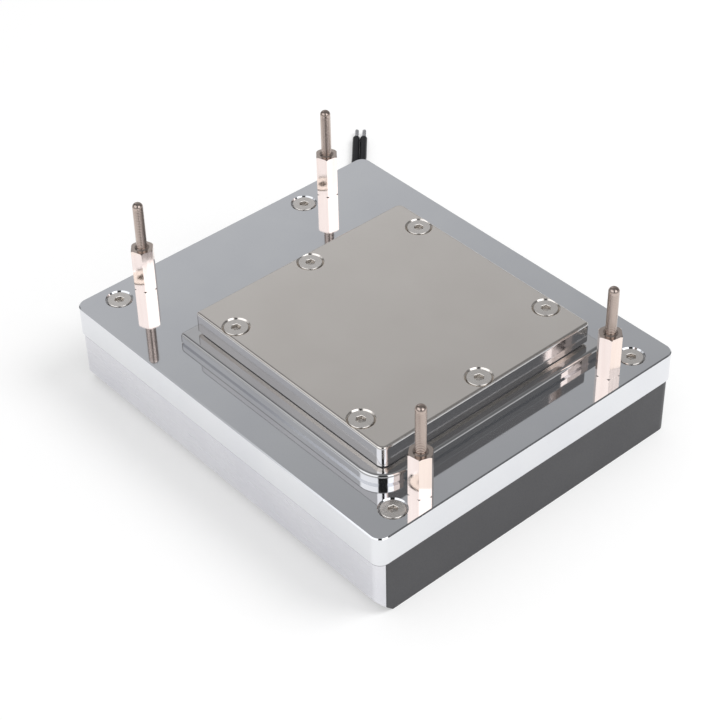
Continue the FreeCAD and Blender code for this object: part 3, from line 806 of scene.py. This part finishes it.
@dataclass
class Screws(SubAssembly):
    """Flat headed socket screws, with a bevelled head, a six sided socket and a thread.

    Sizes are in millimetres. Each place gives a screw's node name, its place in plan and the height
    of the surface that it is sunk in. The socket ends in a cone that a drill left.
    """

    places: dict[str, Point]
    head_radius: float = 2.75
    head_bevel: float = 0.09
    rim: float = 0.45
    sink: float = 0.05
    length: float = 12.0
    radius: float = 1.5
    point_cut: float = 0.4
    thread_gap: float = 0.4
    thread_depth: float = 0.12
    pitch: float = 0.5
    socket_across: float = 2.0
    socket_depth: float = 1.0
    socket_break: float = 0.07
    socket_turn: float = 11.0
    drill_across: float = 0.5
    drill_depth: float = 0.3
    sides: int = 48
    rows_per_turn: int = 6
    finish: Finish = SCREW_FACED

    def socket_radius(self, turn: np.ndarray, across: float) -> np.ndarray:
        """Distance from the axis to a hexagon's edge.

        It is half the width across flats over the cosine of the angle from the middle of the
        nearest side.

        Args:
            turn: angles round the axis, in radians.
            across: the width across flats.

        Returns:
            One distance for each angle.
        """
        from_side = np.mod(turn, math.pi / 3.0) - math.pi / 6.0
        return across / 2.0 / np.cos(from_side)

    def rings(self, x: float, y: float, surface_height: float) -> np.ndarray:
        """Rings of one screw, from its point up, over the head and down into the socket.

        The thread's radius is the full one less the thread depth times the thread's wave. The head
        is a cone and a rim, with a bevel whose rise equals its run.

        Args:
            x: place, in millimetres.
            y: place, in millimetres.
            surface_height: height of the surface that the screw is sunk in.

        Returns:
            An array of rings by points by 3, in metres.
        """
        top = surface_height - self.sink
        neck = top - self.rim - (self.head_radius - self.radius)
        tip = top - self.length
        angle = np.linspace(0.0, 2.0 * math.pi, self.sides, endpoint=False)
        rows = int((neck - tip - 2.0 * self.thread_gap) / self.pitch * self.rows_per_turn)
        levels = np.linspace(tip + self.thread_gap, neck - self.thread_gap, rows)
        z, turn = np.meshgrid(levels, angle, indexing="ij")
        cut = self.thread_depth * thread_wave(z, turn, self.pitch)
        thread = np.stack([self.radius - cut, z], axis=-1)
        profile = np.array([
            (self.radius - self.point_cut, tip),
            (self.radius, neck),
            (self.head_radius, top - self.rim),
            (self.head_radius, top - self.head_bevel),
            (self.head_radius - self.head_bevel, top),
        ])
        round_rings = np.broadcast_to(profile[:, None], (len(profile), self.sides, 2))
        mouth = self.socket_across + 2.0 * self.socket_break
        across = (mouth, self.socket_across, self.socket_across, self.drill_across)
        drop = (0.0, self.socket_break, self.socket_depth, self.socket_depth + self.drill_depth)
        socket = np.stack([
            np.stack([self.socket_radius(angle, wide), np.full(self.sides, top - deep)], axis=-1)
            for wide, deep in zip(across, drop)
        ])
        rings = np.concatenate([round_rings[:1], thread, round_rings[1:], socket])
        radius, height = rings[..., 0], rings[..., 1]
        turned = angle + math.radians(self.socket_turn)
        around = [x + radius * np.cos(turned), y + radius * np.sin(turned), height]
        return np.stack(around, axis=-1) * MM

    def build(self) -> list[Piece]:
        """Makes every screw in place of its plain node.

        Returns:
            The screws.
        """
        pieces = []
        for node, place in self.places.items():
            piece = surface(node + "_threaded", self.rings(*place), sharp=30.0)
            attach(piece, BODY)
            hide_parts(node)
            pieces.append(piece)
        return pieces


@dataclass
class Leads:
    """The two limp leads that leave the hidden left face, and their bare tinned ends.

    Sizes and the route of the middle line between the leads are in millimetres. The last ring of a
    strand has tip_taper of its radius.
    """

    diameter: float = 2.0
    exit_half_spacing: float = 1.1
    half_spacing: float = 1.01
    lengths: Pair = (102.3, 100.8)
    bevel_steps: int = 7
    curve_steps: int = 12
    tip_length: float = 4.0
    tip_radius: float = 0.6
    tip_taper: float = 0.55
    tip_rows: int = 14
    strand_radius: float = 0.2
    strand_sides: int = 10
    strands: int = 6
    twist_turns: float = 0.8
    route: tuple[Point, ...] = (
        (-53.3, -17.0, 5.0),
        (-57.2, -17.0, 5.0),
        (-61.6, -14.8, 4.1),
        (-64.6, -10.6, 3.0),
        (-65.8, -4.6, 1.9),
        (-65.4, 3.4, 1.2),
        (-64.2, 12.6, 1.05),
        (-63.8, 22.4, 1.05),
        (-64.6, 32.0, 1.05),
        (-65.0, 42.6, 1.05),
        (-66.6, 51.0, 1.05),
        (-71.3, 58.9, 1.05),
        (-76.8, 64.4, 1.05),
        (-80.8, 68.0, 1.05),
        (-83.2, 70.3, 1.05),
    )

    def side_route(self, sign: int) -> np.ndarray:
        """Shifts the middle line sideways in plan, square to the run past each point.

        Args:
            sign: 1 for the left of the way out, -1 for the right.

        Returns:
            The route's points, in metres.
        """
        line = np.array(self.route)
        before = np.vstack([line[:1], line[:-1]])
        after = np.vstack([line[1:], line[-1:]])
        run = (after - before)[:, :2]
        run[:2] = (-1.0, 0.0)
        run /= np.linalg.norm(run, axis=1, keepdims=True)
        shift = np.full(len(line), sign * self.half_spacing)
        shift[:2] = sign * self.exit_half_spacing
        line[:, 0] -= shift * run[:, 1]
        line[:, 1] += shift * run[:, 0]
        return line * MM

    def wire(self, name: str, points: np.ndarray) -> Piece:
        """Makes one lead as a smooth spline with the route's points as its control points.

        Args:
            name: the object's name.
            points: the route, in metres.

        Returns:
            The new curve object.
        """
        curve = bpy.data.curves.new(name, "CURVE")
        curve.dimensions = "3D"
        curve.bevel_depth = 1.0
        curve.bevel_resolution = self.bevel_steps
        curve.resolution_u = self.curve_steps
        curve.use_fill_caps = True
        spline = curve.splines.new("NURBS")
        spline.points.add(len(points) - 1)
        spline.points.foreach_set("co", np.column_stack([points, np.ones(len(points))]).ravel())
        spline.points.foreach_set("radius", np.full(len(points), self.diameter / 2.0 * MM))
        spline.order_u = 3
        spline.use_endpoint_u = True
        return add_object(name, curve)

    def bare_end(self, name: str, points: np.ndarray) -> Piece:
        """Makes the bare end: strands that wind round a middle strand in slow helices.

        Args:
            name: the object's name.
            points: the lead's route, in metres.

        Returns:
            The new object, one mesh of all strands.
        """
        along = points[-1] - points[-2]
        along /= np.linalg.norm(along)
        side = np.cross(along, UPRIGHT)
        up = np.cross(side, along)
        reach = np.linspace(0.0, self.tip_length * MM, self.tip_rows)
        winding = reach / reach[-1] * 2.0 * math.pi * self.twist_turns
        offset = (self.tip_radius - self.strand_radius) * MM
        radius = np.full(len(reach), self.strand_radius * MM)
        radius[-1] *= self.tip_taper
        lines = [points[-1] + reach[:, None] * along]
        for k in range(self.strands):
            turn = winding + 2.0 * math.pi * k / self.strands
            swing = np.cos(turn)[:, None] * side + np.sin(turn)[:, None] * up
            lines.append(lines[0] + offset * swing)
        parts = [surface("strand", tube_rings(line, radius, self.strand_sides)) for line in lines]
        work = bmesh.new()
        for part in parts:
            work.from_mesh(part.data)
            bpy.data.objects.remove(part)
        mesh = bpy.data.meshes.new(name)
        work.to_mesh(mesh)
        work.free()
        return add_object(name, mesh)

    def build(self) -> list[Piece]:
        """Returns:
            Each lead and, after it, its bare end.
        """
        pieces = []
        for letter, sign, length in zip("ab", (1, -1), self.lengths):
            points = self.side_route(sign)
            wire = self.wire("outer_lead_%s_wire" % letter, points)
            end = self.bare_end("lead_tip_%s_strands" % letter, points)
            for piece, node, slot in (
                (wire, "outer_lead_" + letter, "lead_rubber"),
                (end, "lead_tip_" + letter, "tinned_wire"),
            ):
                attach(piece, BODY)
                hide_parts(node)
                pieces.append(piece)
        return pieces

    def dress(self, pieces: list[Piece]) -> None:
        """Puts black insulation on the leads and tin on their ends.

        Args:
            pieces: what build returned.
        """
        black = LEAD_BLACK.material()
        tin = TINNED_WIRE.material()
        for piece in pieces:
            dress(piece, tin if "strands" in piece.name else black)


class RoomBench(Bench):
    """Adds the nodes of the world, which reads only a ray's direction and kind."""

    def __init__(self, tree: bpy.types.NodeTree) -> None:
        """Starts the world.

        Args:
            tree: the world's node tree.
        """
        super().__init__(tree)
        self.out = self.add("ShaderNodeOutputWorld")
        self.direction = self.add("ShaderNodeTexCoord").outputs["Generated"]

    def along(self, axis: Point) -> Socket:
        """The part of a ray's direction that lies along a fixed axis.

        Args:
            axis: a direction of length 1.

        Returns:
            The product of the two directions, from -1 to 1.
        """
        node = self.add("ShaderNodeVectorMath", operation="DOT_PRODUCT")
        node.inputs[1].default_value = axis
        self.link(self.direction, node.inputs[0])
        return node.outputs["Value"]

    def ramp(self, bearing: Socket, stops: tuple[Pair, ...]) -> Socket:
        """Reads a level off a list of bearings.

        Args:
            bearing: an angle in radians, from minus half a turn to half a turn.
            stops: pairs of bearing in degrees and level from 0 to 1, in rising order.

        Returns:
            The level.
        """
        node = self.add("ShaderNodeValToRGB")
        self.link(self.span(bearing, (-math.pi, math.pi)), node.inputs["Fac"])
        marks = [((degrees + 180.0) / 360.0, (level,) * 3 + (1.0,)) for degrees, level in stops]
        elements = node.color_ramp.elements
        for element, (position, colour) in zip(elements, (marks[0], marks[-1])):
            element.position = position
            element.color = colour
        for position, colour in marks[1:-1]:
            elements.new(position).color = colour
        return node.outputs["Color"]

    def background(self, colour: Colour, strength: float | Socket) -> Socket:
        """A background of one colour.

        Args:
            colour: linear RGB.
            strength: a number or a socket.

        Returns:
            The background.
        """
        node = self.add("ShaderNodeBackground")
        self.plug(colour, node.inputs["Color"])
        self.plug(strength, node.inputs["Strength"])
        return node.outputs["Background"]

    def show(self, eye: Socket, soft: Socket, shiny: Socket) -> None:
        """Gives each kind of ray its background.

        Args:
            eye: what the camera sees.
            soft: what lights the object.
            shiny: what reflections show.
        """
        rays = self.add("ShaderNodeLightPath")
        shown = soft
        for kind, background in (("Is Glossy Ray", shiny), ("Is Camera Ray", eye)):
            node = self.add("ShaderNodeMixShader")
            self.link(rays.outputs[kind], node.inputs["Fac"])
            self.link(shown, node.inputs[1])
            self.link(background, node.inputs[2])
            shown = node.outputs["Shader"]
        self.link(shown, self.out.inputs["Surface"])


def aim(name: str, data: bpy.types.ID, axes: np.ndarray, place: np.ndarray) -> Piece:
    """Adds a camera or a lamp.

    Args:
        name: the object's name.
        data: the camera or the light.
        axes: its right, up and back, one in each row.
        place: where it stands, in metres.

    Returns:
        The new object.
    """
    matrix = np.eye(4)
    matrix[:3, :3] = axes.T
    matrix[:3, 3] = place
    item = add_object(name, data)
    item.matrix_world = Matrix(matrix.tolist())
    return item


@dataclass
class Studio:
    """Camera, floor, lamp and world.

    Angles are in degrees, the camera's offsets and distance in millimetres, and the floor, the
    lamp, the clipping and mirrored_reach in metres. Where a field is a pair called heights, reach
    or fade, it holds the upright or level parts of a direction between which something changes.
    Screens and the dark stand are lists of bearing and level.
    """

    azimuth: float = 49.242
    elevation: float = 39.901
    roll: float = -1.245
    focal_pixels: float = 1976.9
    picture_pixels: float = 720.0
    offset_x: float = 2.236
    offset_y: float = 7.465
    distance: float = 447.73
    sensor: float = 36.0
    clip: Pair = (0.01, 20.0)
    floor_size: float = 6.0
    floor_albedo: float = 0.62
    floor_glow: float = 0.42
    mirrored_glow: float = 0.44
    mirrored_reach: Pair = (0.10, 0.26)
    white: Colour = (1.0, 1.0, 1.0)
    world_strength: float = 0.68
    mirrored_tint: Colour = (0.97, 0.98, 1.0)
    toward_axis: Point = (0.757, -0.653, 0.0)
    sideways_axis: Point = (0.653, 0.757, 0.0)
    wall_axis: Point = (0.757, 0.653, 0.0)
    wall_reach: Pair = (-0.5, 0.75)
    wall_levels: Pair = (0.61, 0.16)
    wall_heights: Pair = (0.52, 0.78)
    wall_rise: Pair = (1.33, 0.62)
    wall_fade: Pair = (-0.22, -0.10)
    dark_stand: tuple[Pair, ...] = ((-142.0, 1.0), (-136.0, 0.1), (-117.0, 0.1), (-111.0, 1.0))
    horizon_levels: Pair = (0.42, 0.22)
    horizon_heights: Pair = (0.22, 0.46)
    ceiling_level: float = 0.24
    ceiling_heights: Pair = (0.78, 0.92)
    screen_level: float = 1.8
    screens: tuple[Pair, ...] = (
        (-110.0, 0.34), (-98.5, 0.34), (-92.0, 0.30), (-87.0, 0.72), (-80.0, 0.75), (-19.0, 0.75),
        (-15.0, 0.015), (17.0, 0.015), (21.0, 1.0), (67.0, 1.0), (73.0, 0.08), (100.0, 0.10),
    )
    key_watts: float = 6.5
    key_place: Point = (0.55, 0.50, 1.0)
    key_size: float = 0.7

    def camera(self) -> None:
        """Places the camera that the photograph was measured to have had.

        The camera's axes are the three rows of the turned frame: right, up and back. Its place is
        the plate's middle moved back by the distance and across by the two offsets.
        """
        azimuth, elevation, roll = (
            math.radians(angle) for angle in (self.azimuth, self.elevation, self.roll)
        )
        level = math.cos(elevation)
        back = np.array([
            math.sin(azimuth) * level, -math.cos(azimuth) * level, math.sin(elevation)
        ])
        right = np.array([math.cos(azimuth), math.sin(azimuth), 0.0])
        up = np.cross(back, right)
        turn = np.array([
            [math.cos(roll), math.sin(roll), 0.0],
            [-math.sin(roll), math.cos(roll), 0.0],
            [0.0, 0.0, 1.0],
        ])
        axes = turn @ np.array([right, up, back])
        place = -axes.T @ np.array([self.offset_x, self.offset_y, -self.distance])
        place[2] += PLATE_TOP
        data = bpy.data.cameras.new("camera")
        data.sensor_fit = "HORIZONTAL"
        data.sensor_width = self.sensor
        data.lens = self.focal_pixels / self.picture_pixels * self.sensor
        data.clip_start, data.clip_end = self.clip
        bpy.context.scene.camera = aim("camera", data, axes, place * MM)

    def floor(self) -> None:
        """Lays a plain pale floor that shows a little lighter to the camera and in reflections.

        What reflections add fades out with the distance from the object.
        """
        half = self.floor_size / 2.0
        corners = [(-half, -half, 0.0), (half, -half, 0.0), (half, half, 0.0), (-half, half, 0.0)]
        mesh = bpy.data.meshes.new("floor")
        mesh.from_pydata(corners, [], [(0, 1, 2, 3)])
        floor = add_object("floor", mesh)
        bench = NodeBench("floor_white")
        matte = bench.add("ShaderNodeBsdfDiffuse")
        matte.inputs["Color"].default_value = (self.floor_albedo,) * 3 + (1.0,)
        rays = bench.add("ShaderNodeLightPath")
        seen = bench.compute("MULTIPLY", rays.outputs["Is Camera Ray"], self.floor_glow)
        distance = bench.add("ShaderNodeVectorMath", operation="LENGTH")
        bench.link(bench.place, distance.inputs[0])
        fading = bench.span(
            distance.outputs["Value"], self.mirrored_reach, (self.mirrored_glow, 0.0)
        )
        level = bench.compute("MULTIPLY_ADD", rays.outputs["Is Glossy Ray"], fading, seen)
        glow = bench.add("ShaderNodeEmission")
        bench.link(level, glow.inputs["Strength"])
        both = bench.add("ShaderNodeAddShader")
        bench.link(matte.outputs["BSDF"], both.inputs[0])
        bench.link(glow.outputs["Emission"], both.inputs[1])
        bench.link(both.outputs["Shader"], bench.out.inputs["Surface"])
        floor.data.materials.append(bench.material)

    def lamp(self) -> None:
        """Hangs one wide soft lamp behind and to the right, turned to the object."""
        data = bpy.data.lights.new("key", "AREA")
        data.shape = "DISK"
        data.size = self.key_size
        data.energy = self.key_watts
        place = np.array(self.key_place)
        back = place / np.linalg.norm(place)
        right = np.cross(UPRIGHT, back)
        right /= np.linalg.norm(right)
        up = np.cross(back, right)
        aim("key", data, np.array([right, up, back]), place).visible_glossy = False

    def world(self) -> None:
        """Sets a white room for the eye and soft light, and a studio of screens for reflections.

        The studio is told by a direction's bearing from the camera's side: white screens stand left
        and right of a dark gap, a dark screen stands further right, and a grey wall lies opposite.
        The wall darkens from the left to the right and from its foot up, and a dark stand hides a
        strip of it. A plain horizon lies below them all, lighter on the screens' side, and a plain
        ceiling above.
        """
        world = bpy.data.worlds.new("studio")
        world.use_nodes = True
        bpy.context.scene.world = world
        bench = RoomBench(world.node_tree)
        toward = bench.along(self.toward_axis)
        sideways = bench.along(self.sideways_axis)
        height = bench.along((0.0, 0.0, 1.0))
        bearing = bench.compute("ARCTAN2", sideways, toward)
        screens = bench.compute("MULTIPLY", bench.ramp(bearing, self.screens), self.screen_level)
        wall = bench.span(bench.along(self.wall_axis), self.wall_reach, self.wall_levels)
        rise = bench.span(height, self.wall_heights, self.wall_rise)
        wall = bench.compute("MULTIPLY", wall, rise)
        wall = bench.compute("MULTIPLY", wall, bench.ramp(bearing, self.dark_stand))
        opposite = bench.span(toward, self.wall_fade, (1.0, 0.0))
        horizon = bench.span(opposite, (0.0, 1.0), self.horizon_levels)
        above_horizon = bench.span(height, self.horizon_heights)
        overhead = bench.span(height, self.ceiling_heights)
        level = bench.blend(opposite, screens, wall, Kind.NUMBERS)
        level = bench.blend(above_horizon, horizon, level, Kind.NUMBERS)
        level = bench.blend(overhead, level, self.ceiling_level, Kind.NUMBERS)
        bench.show(
            eye=bench.background(self.white, 1.0),
            soft=bench.background(self.white, self.world_strength),
            shiny=bench.background(self.mirrored_tint, level),
        )

    def build(self) -> None:
        """Sets up the whole studio."""
        self.camera()
        self.floor()
        self.lamp()
        self.world()
        bpy.context.scene.view_settings.view_transform = "Standard"


def numbered(stem: str, count: int) -> tuple[str, ...]:
    """The names of a row of like nodes, such as stud_1 to stud_4."""
    return tuple("%s_%d" % (stem, k + 1) for k in range(count))


def screw_places() -> dict[str, Point]:
    """Gives each screw's node name its place and the height of its surface, in millimetres.

    Returns:
        A dictionary from name to X, Y and height.
    """
    spots = {}
    for stem, places, height in (
        ("contact_screw", CONTACT_SCREWS, CONTACT_TOP), ("base_screw", BASE_SCREWS, PLATE_TOP)
    ):
        for name, place in zip(numbered(stem, len(places)), places):
            spots[name] = (*place, height)
    return spots


def sub_assemblies() -> list[NodeGroup | CrispPlate | Studs | Screws | Leads]:
    """Lists the sub-assemblies.

    Returns:
        All of them, in the order that they are built.
    """
    return [
        Leads(),
        NodeGroup(("base_plate",), MIRROR_NICKEL),
        CrispPlate(
            "tier_frame", 34.0, 33.8, ((-1, -1, 2.0, 0.85), (1, 1, 2.0, 0.85), (-1, 1, 2.0, 0.85)),
            STEP_NICKEL, "tier_steel",
            inset_low=(0.35, 0.1), inset_high=(0.5, 0.3), lowered=(24.0, 26.0), drop=0.4,
        ),
        CrispPlate(
            "contact_gasket", 30.4, 30.2, (), GASKET_DARK, "gasket_sheet",
            lowered=(25.0, 26.0), drop=0.4,
        ),
        CrispPlate(
            "contact_plate", 30.9, 30.7, ((-1, -1, 1.7, 0.72), (1, 1, 1.7, 0.72)),
            CONTACT_FACED, "contact_nickel", lowered=(25.0, 27.0), drop=0.42, rim=1.65,
        ),
        Screws(screw_places()),
        NodeGroup(numbered("standoff", 4), STANDOFF_BRIGHT),
        Studs(),
        NodeGroup(("manifold",), BLOCK_BLACK),
        NodeGroup(("front_trim",), TRIM_ALUMINIUM),
        NodeGroup(("inlet_port_collar", "outlet_port_collar"), COLLAR_METAL),
        NodeGroup(("lead_grommet", "inner_lead_a", "inner_lead_b"), LEAD_BLACK),
        NodeGroup(("chamber_seal", "inlet_collar_seal", "outlet_collar_seal"), SEAL_BLACK),
        NodeGroup(("flow_plate",), SCREW_STEEL),
        NodeGroup(numbered("insert", 4), INSERT_BRASS),
        NodeGroup(("lower_thermal_pad", "upper_thermal_pad"), PAD_GREY),
        NodeGroup(("module_lower_ceramic", "module_upper_ceramic"), CERAMIC_WHITE),
        NodeGroup(("module_pellets",), PELLET_METAL),
        NodeGroup(("module_seal",), SEALANT_CREAM),
        NodeGroup(("insulation_ring",), FOAM_BLACK),
    ]


def main() -> None:
    """Builds the studio and every sub-assembly."""
    logging.basicConfig(level=logging.INFO, format="%(message)s")
    Studio().build()
    for group in sub_assemblies():
        pieces = group.build()
        group.dress(pieces)
        LOG.info("%s: %s", type(group).__name__, ", ".join(piece.name for piece in pieces))
    bpy.context.view_layer.update()


if __name__ == "__main__":
    main()
